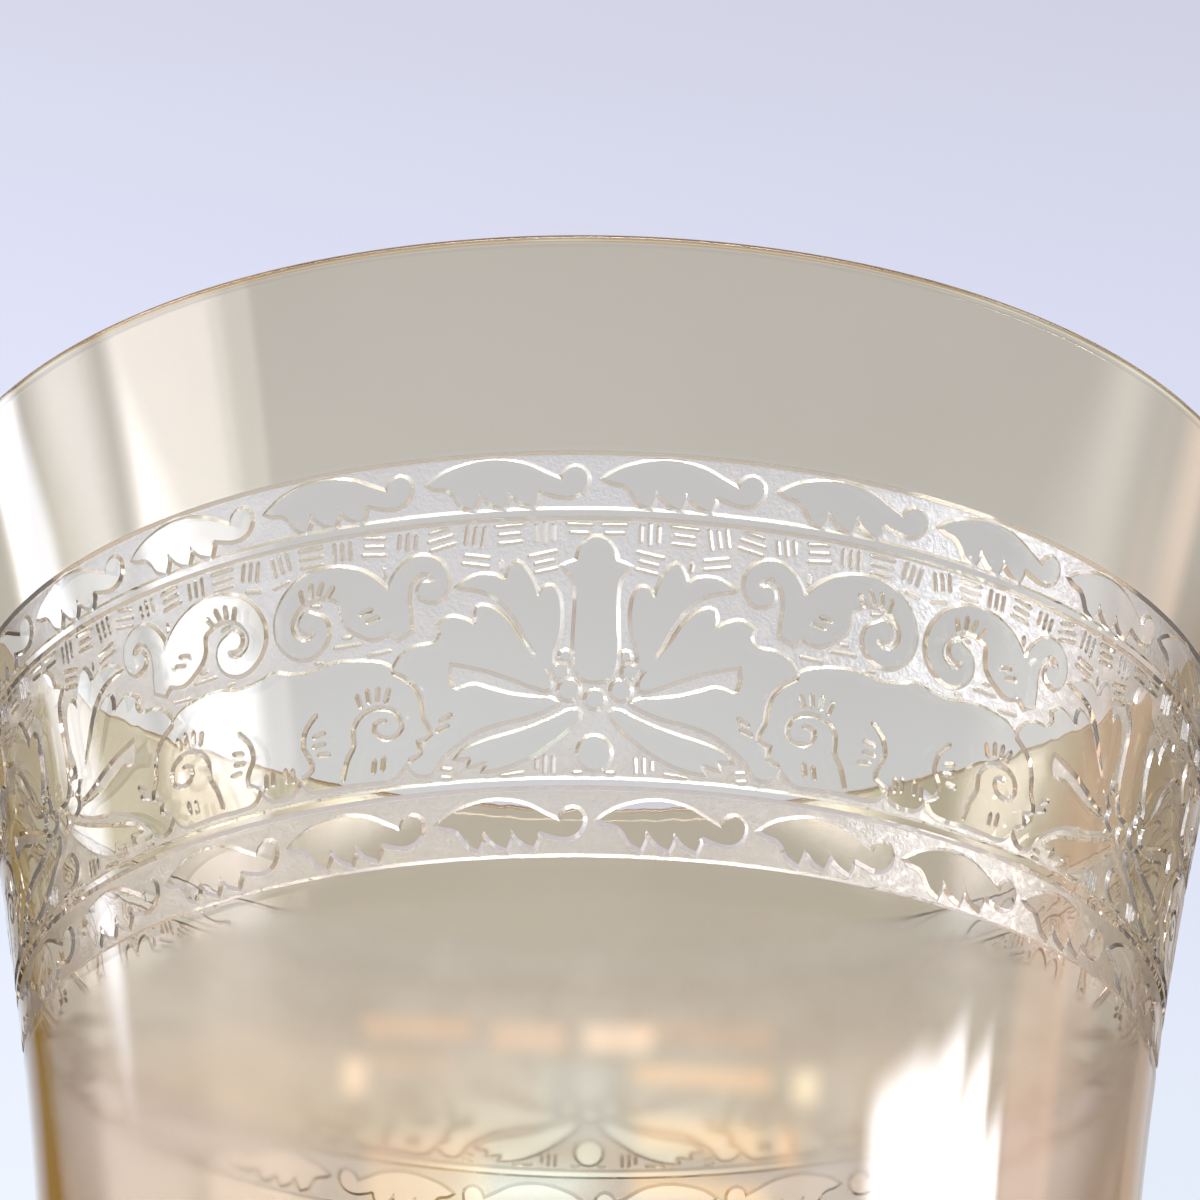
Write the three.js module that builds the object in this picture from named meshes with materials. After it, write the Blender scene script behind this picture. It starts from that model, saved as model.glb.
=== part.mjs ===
// Water goblet in pale amber glass: a flared bowl with an etched band, a merese, a stem and a foot.
// Millimetres, +Z up. The origin is the middle of the foot's underside, on the surface it stands on.
// Each piece is turned about the Z axis, and the pieces meet on flat faces, where the glass is fused.

import * as THREE from "three";

// Bowl, outside
const rimDiameter = 88;
const rimLean = 16.7; // degrees that the wall leans outwards at the rim
const waistDiameter = 66.6; // where the flare runs out into the cup
const flareHeight = 58; // rim down to the waist
const cupHeight = 39; // waist down to the bowl's base
const baseDiameter = 15; // flat that is fused to the merese
const baseRise = 11; // how steeply the cup leaves its base

// Bowl, wall
const rimWall = 0.9;
const waistWall = 2.8;
const baseThickness = 5; // glass under the bottom of the drink

// Etched band round the flare
const bandDrop = 12.8; // rim down to the band's top edge
const bandHeight = 23.9;
const etchDepth = 0.14;
const etchStep = 0.27; // height of the sloped edge of the etching
const upperBorder = 3.65; // band's top edge down to the upper ruled line
const lowerBorder = 4.35; // lower ruled line down to the band's bottom edge
const ruleWidth = 0.35; // ruled line, left standing at the height of the wall

// Merese
const mereseDiameter = 19;
const mereseHeight = 3.2;

// Stem
const stemLength = 88;
const stemTopDiameter = 10.5;
const stemWaistDiameter = 7.8;
const stemFootDiameter = 13;
const knopDiameter = 14.5;
const knopHeight = 11;
const knopNeck = 4.5; // knop up to the stem's top
const stemFlare = 24; // length over which the stem widens to meet the foot

// Foot
const footDiameter = 76;
const footHeight = 9; // underside up to the stem
const footEdge = 2.4; // thickness of the rounded edge
const footShoulder = 5.2; // height of the dome where it turns up to the stem
const footShoulderDiameter = 26;
const restRingWidth = 3.5; // flat ring that the goblet stands on
const footHollow = 2.2; // rise of the hollow under the foot

// Fineness
const turns = 48; // facets round the bowl and the foot
const slimTurns = 32; // facets round the merese and the stem

// Heights of the fused faces, from the surface it stands on
const footTopZ = footHeight;
const stemTopZ = footTopZ + stemLength;
const mereseTopZ = stemTopZ + mereseHeight;
const waistZ = mereseTopZ + cupHeight;
const rimZ = waistZ + flareHeight;

// The walls of the flare stop under the rounded lip, which is half a wall high.
const lipRadius = rimWall / 2;
const lipZ = rimZ - lipRadius;
const wallHeight = lipZ - waistZ;

function point(radius, z) {
  return new THREE.Vector2(radius, z);
}

// A wall's flare is one parabola from the lip to the waist, so its height runs evenly along it.
function flareCurve(lipWallRadius, waistRadius) {
  const rise = wallHeight / 2;
  const leanIn = Math.tan(THREE.MathUtils.degToRad(rimLean)) * rise;
  return new THREE.QuadraticBezierCurve(
    point(lipWallRadius, lipZ),
    point(lipWallRadius - leanIn, lipZ - rise),
    point(waistRadius, waistZ),
  );
}

// The cup carries the flare's last direction on and rounds in to its end.
function cupCurve(flare, end, endControl) {
  const fullness = 0.6; // share of the cup's height that stays nearly upright
  const reach = (fullness * cupHeight) / (wallHeight / 2);
  const startControl = flare.v2.clone().sub(flare.v1).multiplyScalar(reach).add(flare.v2);
  return new THREE.CubicBezierCurve(flare.v2, startControl, endControl, end);
}

function arc(centreRadius, centreZ, radius, startAngle, endAngle, steps) {
  const points = [];
  for (let i = 0; i <= steps; i += 1) {
    const angle = startAngle + ((endAngle - startAngle) * i) / steps;
    points.push(point(centreRadius + radius * Math.cos(angle), centreZ + radius * Math.sin(angle)));
  }
  return points;
}

function turned(name, profile, facets, colour) {
  const geometry = new THREE.LatheGeometry(profile, facets);
  geometry.rotateX(Math.PI / 2);
  const material = new THREE.MeshStandardMaterial({
    color: colour,
    roughness: 0.06,
    metalness: 0,
    transparent: true,
    opacity: 0.55,
  });
  const mesh = new THREE.Mesh(geometry, material);
  mesh.name = name;
  return mesh;
}

// Outside of the flare from the lip down: smooth wall, then the etched ground with its two ruled lines.
// A drop is measured down from the rim.
function etchedFlare(outside) {
  const bandBottom = bandDrop + bandHeight;
  const upperRule = bandDrop + upperBorder;
  const lowerRule = bandBottom - lowerBorder;
  const wallPoint = (drop, inset) => {
    const share = (drop - lipRadius) / wallHeight;
    const onWall = outside.getPoint(share);
    const along = outside.getTangent(share);
    return point(onWall.x + along.y * inset, onWall.y - along.x * inset);
  };
  const points = [];
  const stretch = (from, to, inset, steps) => {
    for (let i = 0; i <= steps; i += 1) {
      points.push(wallPoint(from + ((to - from) * i) / steps, inset));
    }
  };
  const rule = (drop) => {
    stretch(drop - ruleWidth / 2, drop + ruleWidth / 2, 0, 1);
  };
  const ground = (from, to, steps) => {
    stretch(from + etchStep, to - etchStep, etchDepth, steps);
  };
  stretch(lipRadius, bandDrop, 0, 4);
  ground(bandDrop, upperRule - ruleWidth / 2, 1);
  rule(upperRule);
  ground(upperRule + ruleWidth / 2, lowerRule - ruleWidth / 2, 4);
  rule(lowerRule);
  ground(lowerRule + ruleWidth / 2, bandBottom, 1);
  stretch(bandBottom, flareHeight, 0, 5);
  return points;
}

function bowl() {
  const rimRadius = rimDiameter / 2;
  const waistRadius = waistDiameter / 2;
  const baseRadius = baseDiameter / 2;
  const floorZ = mereseTopZ + baseThickness;
  const outside = flareCurve(rimRadius, waistRadius);
  const inside = flareCurve(rimRadius - rimWall, waistRadius - waistWall);
  const baseControl = point(baseRadius + baseRise, mereseTopZ + baseRise);
  const outerCup = cupCurve(outside, point(baseRadius, mereseTopZ), baseControl);
  const innerCup = cupCurve(inside, point(0, floorZ), point(waistRadius / 2, floorZ));
  const flareSteps = 10;
  const cupSteps = 12;
  const downOutside = etchedFlare(outside).concat(outerCup.getPoints(cupSteps).slice(1));
  const downInside = inside.getPoints(flareSteps).concat(innerCup.getPoints(cupSteps).slice(1));
  const lip = arc(rimRadius - lipRadius, lipZ, lipRadius, 0, Math.PI, 6).slice(1, -1);
  const profile = [point(0, mereseTopZ)].concat(downOutside.reverse(), lip, downInside);
  return turned("bowl", profile, turns, 0xcfc3a0);
}

function merese() {
  const edgeRadius = mereseHeight / 2;
  const edgeCentre = mereseDiameter / 2 - edgeRadius;
  const edge = arc(edgeCentre, stemTopZ + edgeRadius, edgeRadius, -Math.PI / 2, Math.PI / 2, 8);
  const profile = [point(0, stemTopZ)].concat(edge, point(0, mereseTopZ));
  return turned("merese", profile, slimTurns, 0xcdbf98);
}

function stem() {
  const waistRadius = stemWaistDiameter / 2;
  const knopTopZ = stemTopZ - knopNeck;
  const knopZ = knopTopZ - knopHeight / 2;
  const knopBottomZ = knopTopZ - knopHeight;
  const flareTopZ = footTopZ + stemFlare;
  const neckRadius = (waistRadius + stemTopDiameter / 2) / 2;
  const footFlare = new THREE.CubicBezierCurve(
    point(stemFootDiameter / 2, footTopZ),
    point(waistRadius, footTopZ + stemFlare / 4),
    point(waistRadius, flareTopZ - stemFlare / 4),
    point(waistRadius, flareTopZ),
  );
  const knop = new THREE.SplineCurve([
    point(neckRadius, knopBottomZ),
    point(knopDiameter / 2 - knopHeight / 12, knopZ - knopHeight / 4),
    point(knopDiameter / 2, knopZ),
    point(knopDiameter / 2 - knopHeight / 12, knopZ + knopHeight / 4),
    point(neckRadius, knopTopZ),
  ]);
  const profile = [point(0, footTopZ)].concat(
    footFlare.getPoints(8),
    knop.getPoints(12),
    point(stemTopDiameter / 2, stemTopZ),
    point(0, stemTopZ),
  );
  return turned("stem", profile, slimTurns, 0xcbbb8e);
}

function foot() {
  const edgeRadius = footEdge / 2;
  const edgeCentre = footDiameter / 2 - edgeRadius;
  const ringInner = edgeCentre - restRingWidth;
  const hollow = new THREE.QuadraticBezierCurve(
    point(0, footHollow),
    point(ringInner / 2, footHollow),
    point(ringInner, 0),
  );
  const edge = arc(edgeCentre, edgeRadius, edgeRadius, -Math.PI / 2, Math.PI / 2, 6);
  const dome = new THREE.CubicBezierCurve(
    point(edgeCentre, footEdge),
    point(footShoulderDiameter / 2, footShoulder),
    point(stemFootDiameter / 2 + (footHeight - footShoulder) / 2, footShoulder),
    point(stemFootDiameter / 2, footTopZ),
  );
  const profile = hollow.getPoints(6).concat(edge, dome.getPoints(12).slice(1), point(0, footTopZ));
  return turned("foot", profile, turns, 0xcdbf98);
}

const goblet = new THREE.Group();
goblet.add(bowl(), merese(), stem(), foot());

export default goblet;
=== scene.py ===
import math
import random

import bmesh
import bpy
import numpy as np
from mathutils import Matrix, Vector
from mathutils.geometry import delaunay_2d_cdt


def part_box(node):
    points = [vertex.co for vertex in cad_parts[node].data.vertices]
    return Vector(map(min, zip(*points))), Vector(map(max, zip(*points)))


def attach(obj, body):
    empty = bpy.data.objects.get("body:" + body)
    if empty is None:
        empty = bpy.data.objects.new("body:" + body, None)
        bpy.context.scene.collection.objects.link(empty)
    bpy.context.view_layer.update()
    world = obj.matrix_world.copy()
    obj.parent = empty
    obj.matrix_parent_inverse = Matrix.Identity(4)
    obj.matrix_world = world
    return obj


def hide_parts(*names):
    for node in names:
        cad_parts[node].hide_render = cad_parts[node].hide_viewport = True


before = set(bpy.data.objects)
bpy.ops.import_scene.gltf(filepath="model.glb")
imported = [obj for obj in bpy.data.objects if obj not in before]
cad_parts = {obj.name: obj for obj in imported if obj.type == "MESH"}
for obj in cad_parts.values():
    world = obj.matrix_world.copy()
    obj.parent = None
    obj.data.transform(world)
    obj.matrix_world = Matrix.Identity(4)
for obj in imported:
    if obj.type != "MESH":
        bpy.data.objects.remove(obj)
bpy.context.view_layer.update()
mm = 0.001
scene = bpy.context.scene
print("frame loaded:", ", ".join(sorted(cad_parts)))


# Small helpers for node trees

def newTree(name, kind, inputs, outputs):
    tree = bpy.data.node_groups.new(name, kind)
    for label, socketType in inputs:
        tree.interface.new_socket(label, in_out="INPUT", socket_type="NodeSocket" + socketType)
    for label, socketType in outputs:
        tree.interface.new_socket(label, in_out="OUTPUT", socket_type="NodeSocket" + socketType)
    return tree, tree.nodes.new("NodeGroupInput").outputs, tree.nodes.new("NodeGroupOutput").inputs


def place(tree, kind, feeds=None, **settings):
    node = tree.nodes.new(kind)
    for key, value in settings.items():
        setattr(node, key, value)
    for key, value in (feeds or {}).items():
        feed(tree, node.inputs[key], value)
    return node


def feed(tree, socket, value):
    if isinstance(value, bpy.types.NodeSocket):
        tree.links.new(value, socket)
    else:
        socket.default_value = value


def calc(tree, operation, *values):
    return place(tree, "ShaderNodeMath", dict(enumerate(values)), operation=operation).outputs[0]


def objectPlace(tree):
    return place(tree, "ShaderNodeTexCoord").outputs["Object"]


def noise(tree, where, scale, detail):
    return place(tree, "ShaderNodeTexNoise", {"Vector": where, "Scale": scale, "Detail": detail}).outputs[0]


def span(tree, value, start, end, low=0.0, high=1.0, **settings):
    # value from start to end carried over to low and high
    feeds = {0: value, 1: start, 2: end, 3: low, 4: high}
    return place(tree, "ShaderNodeMapRange", feeds, **settings).outputs[0]


def mix(tree, share, first, second):
    return place(tree, "ShaderNodeMix", {0: share, 2: first, 3: second}).outputs[0]


def mixColour(tree, share, first, second, kind="MIX"):
    return place(
        tree, "ShaderNodeMix", {0: share, 6: first, 7: second}, data_type="RGBA", blend_type=kind,
    ).outputs[2]


def vector(tree, operation, *values):
    return place(tree, "ShaderNodeVectorMath", dict(enumerate(values)), operation=operation).outputs


def onAxis(tree, radius, angle, height):
    # place at an angle round the Z axis, counted from the camera's side
    return place(tree, "ShaderNodeCombineXYZ", {
        0: calc(tree, "MULTIPLY", radius, calc(tree, "SINE", angle)),
        1: calc(tree, "MULTIPLY", radius, calc(tree, "MULTIPLY", calc(tree, "COSINE", angle), -1.0)),
        2: height,
    }).outputs[0]


def ramp(tree, value, stops):
    node = place(tree, "ShaderNodeValToRGB", {"Fac": value})
    while len(node.color_ramp.elements) < len(stops):
        node.color_ramp.elements.new(1.0)
    for element, (position, colour) in zip(node.color_ramp.elements, stops):
        element.position = position
        element.color = (*colour, 1.0)
    return node.outputs["Color"]


# Camera at the photograph's viewing angle, in millimetres and degrees

photoView = {
    "place": (0.217, -321.81, 34.49),
    "pitch": 26.486,
    "roll": 0.842,
    "lens": 162.96,
}


def setCamera(view):
    cameraData = bpy.data.cameras.new("photoCamera")
    cameraData.lens = view["lens"]
    cameraData.sensor_width = 36
    cameraData.clip_start = 0.01
    camera = bpy.data.objects.new("photoCamera", cameraData)
    scene.collection.objects.link(camera)
    turn = Matrix.Rotation(math.radians(90 + view["pitch"]), 4, "X")
    roll = Matrix.Rotation(math.radians(view["roll"]), 4, "Z")
    camera.matrix_world = Matrix.Translation(Vector(view["place"]) * mm) @ turn @ roll
    scene.camera = camera


# Soft studio light: a pale backdrop behind the goblet, a dim warm room on the camera's side, and soft windows

studio = {
    "backdrop": [                      # elevation in degrees, colour
        (-90, (0.60, 0.60, 0.63)),
        (0, (0.78, 0.80, 0.86)),
        (20, (0.82, 0.88, 0.99)),
        (24, (0.77, 0.81, 0.96)),
        (29, (0.72, 0.745, 0.91)),
        (33, (0.65, 0.66, 0.785)),
        (45, (0.57, 0.55, 0.57)),
        (62, (0.46, 0.40, 0.36)),
        (90, (0.42, 0.36, 0.31)),
    ],
    "backdropSides": {
        "reach": 0.12,                 # sideways part of the direction there
        "light": (1.045, 0.965),       # at the left and at the right
    },
    "room": [
        (-90, (0.34, 0.31, 0.29)),
        (0, (0.32, 0.25, 0.19)),
        (22, (0.36, 0.28, 0.22)),
        (40, (0.72, 0.60, 0.50)),
        (60, (0.70, 0.60, 0.52)),
        (90, (0.40, 0.38, 0.37)),
    ],
    "windows": [                       # azimuth right of the camera, elevation, softness of both, light
        ((-86, -64), (1.0, 8.1), (2.5, 0.6), (4.6, 4.4, 4.5)),
        ((-84, -64), (5.6, 8.1), (2.0, 0.6), (4.8, 4.9, 5.3)),
        ((-64, -57.5), (0.5, 8.1), (0.8, 0.6), (1.5, 1.45, 1.4)),
        ((-119, -91), (3.0, 9.2), (4.0, 1.2), (2.9, 2.95, 3.2)),
        ((-122, -105), (10.6, 13.2), (3.0, 0.5), (5.0, 5.2, 6.0)),
        ((58.5, 70), (10.7, 22.0), (3.0, 0.4), (21.0, 21.4, 22.5)),
        ((70, 79.5), (10.95, 22.0), (2.0, 0.4), (21.0, 21.4, 22.5)),
        ((80.5, 86.5), (11.6, 22.0), (1.5, 0.4), (21.0, 21.4, 22.5)),
        ((86, 91), (12.5, 22.0), (1.5, 0.4), (21.0, 21.4, 22.5)),
        ((44, 55), (10.4, 16.0), (4.0, 1.0), (0.9, 1.4, 1.8)),
        ((92, 107), (10.5, 18.0), (3.0, 2.0), (2.4, 1.4, 1.0)),
        ((-23, 1), (11.0, 13.0), (7.0, 0.45), (6.4, 9.0, 8.6)),
        ((106, 121), (11.0, 14.0), (4.0, 1.2), (1.6, 1.1, 0.85)),
        ((75, 99), (6.5, 10.5), (6.0, 1.2), (1.7, 1.65, 1.6)),
        ((82, 104), (43.5, 51.0), (5.0, 2.5), (4.0, 3.8, 4.4)),
        ((-110, -88), (43.5, 51.0), (5.0, 2.5), (4.4, 4.2, 4.8)),
        ((173, 204), (13.5, 18.6), (5.0, 1.4), (0.23, 0.17, 0.11)),
        ((-204, -171), (13.5, 18.6), (6.0, 1.4), (0.25, 0.18, 0.11)),
        ((178, 204), (13.5, 18.9), (2.0, 1.0), (0.22, 0.40, 0.56)),
        ((-204, -178), (13.5, 18.9), (2.0, 1.0), (0.22, 0.40, 0.56)),
        ((143, 156), (4.0, 16.0), (2.0, 3.0), (0.30, 0.28, 0.28)),
        ((159.5, 165), (4.0, 18.0), (1.5, 3.0), (-0.25, -0.33, -0.42)),    # less than none: a brown card
        ((-149, -138), (-8.0, 25.0), (2.5, 5.0), (-0.05, -0.09, -0.18)),
        ((160, 173), (19.5, 25.0), (1.2, 1.5), (-0.22, -0.32, -0.42)),
    ],
    "blind": {                         # warm light between the slats of a blind, on the camera's side
        "bow": 0.00035,                # how its slats rise to both sides
        "softness": (3.0, 0.2),
        "gaps": [                      # azimuth, elevation in the middle, light
            ((9, 36), (8.56, 8.88), (2.4, 0.7, 0.0)),
            ((9, 36), (9.22, 9.54), (6.2, 2.7, 0.3)),
            ((10, 35), (10.05, 10.55), (6.0, 2.7, 0.4)),
            ((9, 36), (10.95, 11.4), (6.8, 3.5, 0.5)),
            ((-45, -23), (8.56, 8.88), (4.0, 1.5, 0.2)),
            ((-45, -27), (9.08, 9.36), (1.6, 0.4, 0.0)),
            ((-45, -20), (10.3, 10.7), (3.5, 1.5, 0.6)),
            ((-45, -20), (10.7, 11.4), (4.6, 3.0, 0.9)),
            ((-19, -5), (8.62, 9.05), (4.8, 2.2, 0.8)),
            ((-1, 12), (8.62, 9.05), (9.0, 5.8, 3.6)),
            ((41, 46), (9.2, 9.65), (9.8, 8.0, 4.5)),
            ((38, 42), (10.05, 10.55), (8.0, 3.6, 1.2)),
            ((-50, -45), (9.15, 9.65), (8.0, 5.4, 3.2)),
            ((-9, 6), (9.3, 10.5), (0.5, 1.4, 1.9)),
        ],
    },
    "arch": {                          # soft light over the camera, bent round the goblet
        "axis": 70,                    # elevation of its middle, over the backdrop
        "ring": (37.0, 51.5),          # degrees off that axis
        "reach": (-130, -28),          # from past the front towards the back, in hundredths of the way
        "softness": (12.0, 1.5),
        "light": (14.0, 13.8, 13.5),
    },
    "roomEdge": (146, 168),            # how far the room reaches round before the backdrop, in degrees
}


def makeSoftWindow():
    # soft-edged patch of the surround, from angles in degrees
    tree, given, result = newTree(
        "softWindow", "ShaderNodeTree",
        [(label, "Float") for label in (
            "Azimuth", "Elevation", "Left", "Right", "Bottom", "Top", "Side Softness", "End Softness",
        )],
        [("Mask", "Float")],
    )

    def past(value, edge, softness):
        start = calc(tree, "SUBTRACT", given[edge], given[softness])
        end = calc(tree, "ADD", given[edge], given[softness])
        return span(tree, given[value], start, end, interpolation_type="SMOOTHSTEP")

    def between(value, low, high, softness):
        return calc(tree, "SUBTRACT", past(value, low, softness), past(value, high, softness))

    across = between("Azimuth", "Left", "Right", "Side Softness")
    upward = between("Elevation", "Bottom", "Top", "End Softness")
    feed(tree, result["Mask"], calc(tree, "MULTIPLY", across, upward))
    return tree


def elevationRamp(tree, elevation, stops):
    share = calc(tree, "MULTIPLY_ADD", elevation, 1 / 180, 0.5)
    return ramp(tree, share, [((degrees + 90) / 180, colour) for degrees, colour in stops])


def setSurround():
    world = bpy.data.worlds.new("studioSurround")
    scene.world = world
    world.use_nodes = True
    tree = world.node_tree
    tree.nodes.clear()
    direction = place(tree, "ShaderNodeTexCoord").outputs["Generated"]
    toward = place(tree, "ShaderNodeSeparateXYZ", {0: direction}).outputs
    elevation = calc(tree, "DEGREES", calc(tree, "ARCSINE", toward["Z"]))
    front = calc(tree, "MULTIPLY", toward["Y"], -1.0)
    azimuth = calc(tree, "DEGREES", calc(tree, "ARCTAN2", toward["X"], front))
    sides = studio["backdropSides"]
    sideLight = span(tree, toward["X"], -sides["reach"], sides["reach"], *sides["light"])
    backdrop = vector(tree, "MULTIPLY", elevationRamp(tree, elevation, studio["backdrop"]), sideLight)[0]
    room = elevationRamp(tree, elevation, studio["room"])
    aside = calc(tree, "ABSOLUTE", azimuth)
    behind = span(tree, aside, *studio["roomEdge"], interpolation_type="SMOOTHSTEP")
    light = mixColour(tree, behind, room, backdrop)
    panes = [(azimuth, elevation, *window) for window in studio["windows"]]
    blind = studio["blind"]
    bow = calc(tree, "MULTIPLY", azimuth, azimuth)
    overSlats = calc(tree, "MULTIPLY_ADD", bow, -blind["bow"], elevation)
    for across, upward, colour in blind["gaps"]:
        panes.append((azimuth, overSlats, across, upward, blind["softness"], colour))
    arch = studio["arch"]
    lean = math.radians(arch["axis"])
    along = vector(tree, "DOT_PRODUCT", direction, (0.0, math.cos(lean), math.sin(lean)))["Value"]
    offAxis = calc(tree, "DEGREES", calc(tree, "ARCCOSINE", along))
    backward = calc(tree, "MULTIPLY", toward["Y"], 100.0)
    panes.append((backward, offAxis, arch["reach"], arch["ring"], arch["softness"], arch["light"]))
    softWindow = makeSoftWindow()
    for around, lift, (left, right), (bottom, top), (sideSoft, endSoft), colour in panes:
        mask = place(tree, "ShaderNodeGroup", {
            "Azimuth": around, "Elevation": lift,
            "Left": left, "Right": right, "Bottom": bottom, "Top": top,
            "Side Softness": sideSoft, "End Softness": endSoft,
        }, node_tree=softWindow).outputs["Mask"]
        light = vector(tree, "MULTIPLY_ADD", mask, colour, light)[0]
    glow = place(tree, "ShaderNodeBackground", {"Color": light})
    plain = place(tree, "ShaderNodeBackground", {"Color": backdrop})
    seen = place(tree, "ShaderNodeLightPath").outputs["Is Camera Ray"]
    choice = place(tree, "ShaderNodeMixShader", {0: seen, 1: glow.outputs[0], 2: plain.outputs[0]})
    sink = place(tree, "ShaderNodeOutputWorld")
    tree.links.new(choice.outputs[0], sink.inputs["Surface"])


setCamera(photoView)
setSurround()
scene.view_settings.view_transform = "Standard"
scene.cycles.max_bounces = 32                    # light that runs along inside the walls comes out again
scene.cycles.transmission_bounces = 32
print("camera and studio light set")


# Shared glass effects

def makeHandlingFilm():
    # faint wiped-on film and dust: a mask that makes polished glass a little less clear in places
    tree, given, result = newTree(
        "handlingFilm", "ShaderNodeTree",
        [("Size", "Float"), ("Amount", "Float")],
        [("Film", "Float"), ("Shade", "Color")],
    )
    where = objectPlace(tree)
    wiped = span(tree, noise(tree, where, given["Size"], 4.0), 0.48, 0.72)
    film = calc(tree, "MULTIPLY", wiped, given["Amount"])
    feed(tree, result["Film"], film)
    feed(tree, result["Shade"], ramp(tree, film, [(0.0, (1.0, 1.0, 1.0)), (1.0, (0.93, 0.925, 0.92))]))
    return tree


def makeBlownRipple():
    # slow waves that hand-worked glass keeps, stretched by Pull along one axis
    tree, given, result = newTree(
        "blownRipple", "ShaderNodeTree",
        [("Pull", "Vector"), ("Size", "Float")],
        [("Height", "Float")],
    )
    where = objectPlace(tree)
    pulled = vector(tree, "MULTIPLY", where, given["Pull"])[0]
    feed(tree, result["Height"], noise(tree, pulled, given["Size"], 1.0))
    return tree


handlingFilm = makeHandlingFilm()
blownRipple = makeBlownRipple()

glassRecipe = {
    "absorption": (0.857, 0.524, 0.0),   # pale amber: blue is taken up most
    "density": 60.0,                     # per metre
    "tint": (0.82, 0.78, 0.70),          # of one wall
    "bending": 1.51,
    "polish": 0.008,                     # roughness, as the next three
    "film": 0.05,
    "haze": 0.17,                        # inside the wall under the band
    "etch": (0.17, 0.52),                # ground, in patches
    "filmSize": 45.0,
    "filmAmount": 0.6,
    "grainScale": 4200.0,                # of the ground
    "grainHeight": 0.00006,
    "patchScale": 260.0,
    "groundShare": (0.82, 1.0),          # depth of the etching, over which edge turns into ground
    "edgeShare": (0.02, 0.12),           # and over which wall turns into edge
    "frostRoughness": 0.5,               # bitten edges scatter light as a rough coat
    "frostBending": 2.9,
    "speckScale": 2300.0,
    "speckFrost": (0.22, 1.0),           # between the specks of the ground and on them
    "frostSlant": (0.36, 0.64),          # where the frost fades as the wall turns aside
    "frostLeft": 0.03,                   # and what is left of it
    "hazeSlant": (0.30, 0.15),
}


def makeGlass(name, pull, rippleSize, rippleHeight, zones=None, groundTint=None):
    material = bpy.data.materials.new(name)
    material.use_nodes = True
    tree = material.node_tree
    tree.nodes.clear()
    film = place(tree, "ShaderNodeGroup", node_tree=handlingFilm)
    film.inputs["Size"].default_value = glassRecipe["filmSize"]
    film.inputs["Amount"].default_value = glassRecipe["filmAmount"]
    ripple = place(tree, "ShaderNodeGroup", node_tree=blownRipple)
    ripple.inputs["Pull"].default_value = pull
    ripple.inputs["Size"].default_value = rippleSize
    tint = (*glassRecipe["tint"], 1.0)
    rough = span(tree, film.outputs["Film"], 0.0, 1.0, glassRecipe["polish"], glassRecipe["film"])
    facing = place(tree, "ShaderNodeBump", {
        "Height": ripple.outputs["Height"], "Strength": 1.0, "Distance": rippleHeight,
    }).outputs[0]
    frost = 0.0
    if zones:
        zone = place(tree, "ShaderNodeGroup", node_tree=zones).outputs
        where = objectPlace(tree)
        slant = place(tree, "ShaderNodeLayerWeight", {"Blend": 0.5}).outputs["Facing"]
        depth = place(tree, "ShaderNodeAttribute", attribute_name="etch").outputs["Fac"]
        inside = place(tree, "ShaderNodeAttribute", attribute_name="inside").outputs["Fac"]
        ground = span(tree, depth, *glassRecipe["groundShare"])
        edge = span(tree, depth, *glassRecipe["edgeShare"])
        tint = mixColour(tree, ground, zone["Tint"], (*groundTint, 1.0))
        specks = noise(tree, where, glassRecipe["speckScale"], 2.0)
        speckled = span(tree, specks, 0.5, 0.7, *glassRecipe["speckFrost"])
        fading = span(tree, slant, *glassRecipe["frostSlant"], 1.0, glassRecipe["frostLeft"])
        frost = calc(tree, "MULTIPLY", mix(tree, ground, edge, speckled), fading)
        clearing = span(tree, slant, *glassRecipe["hazeSlant"])
        haze = calc(tree, "MULTIPLY", calc(tree, "MULTIPLY", zone["Haze"], inside), clearing)
        rough = calc(tree, "MULTIPLY_ADD", haze, glassRecipe["haze"], rough)
        patches = noise(tree, where, glassRecipe["patchScale"], 3.0)
        rough = mix(tree, ground, rough, span(tree, patches, 0.0, 1.0, *glassRecipe["etch"]))
        grain = noise(tree, where, glassRecipe["grainScale"], 2.0)
        facing = place(tree, "ShaderNodeBump", {
            "Height": calc(tree, "MULTIPLY", grain, ground), "Strength": 1.0,
            "Distance": glassRecipe["grainHeight"], "Normal": facing,
        }).outputs[0]
    shaded = mixColour(tree, 1.0, tint, film.outputs["Shade"], "MULTIPLY")
    glass = place(tree, "ShaderNodeBsdfPrincipled", {
        "Base Color": shaded, "Roughness": rough, "Normal": facing,
        "IOR": glassRecipe["bending"], "Transmission Weight": 1.0, "Metallic": 0.0, "Coat Weight": frost,
        "Coat Roughness": glassRecipe["frostRoughness"], "Coat IOR": glassRecipe["frostBending"],
    })
    soak = place(tree, "ShaderNodeVolumeAbsorption", {
        "Color": (*glassRecipe["absorption"], 1.0), "Density": glassRecipe["density"],
    })
    sink = place(tree, "ShaderNodeOutputMaterial")
    tree.links.new(glass.outputs[0], sink.inputs["Surface"])
    tree.links.new(soak.outputs[0], sink.inputs["Volume"])
    return material


mereseGlass = makeGlass("pressedMereseGlass", (1.0, 1.0, 1.0), 160.0, 0.00004)
stemGlass = makeGlass("drawnStemGlass", (1.0, 1.0, 0.08), 330.0, 0.00005)
footGlass = makeGlass("spreadFootGlass", (1.0, 1.0, 1.0), 70.0, 0.00008)
print("glass finishes made")


# Turned glass: a profile of points (radius, 0, height) is carried round the Z axis by a node tree

weldReach = 2e-6
joinReach = 4e-6                       # between the parts of one piece
sliver = 1e-7


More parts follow.
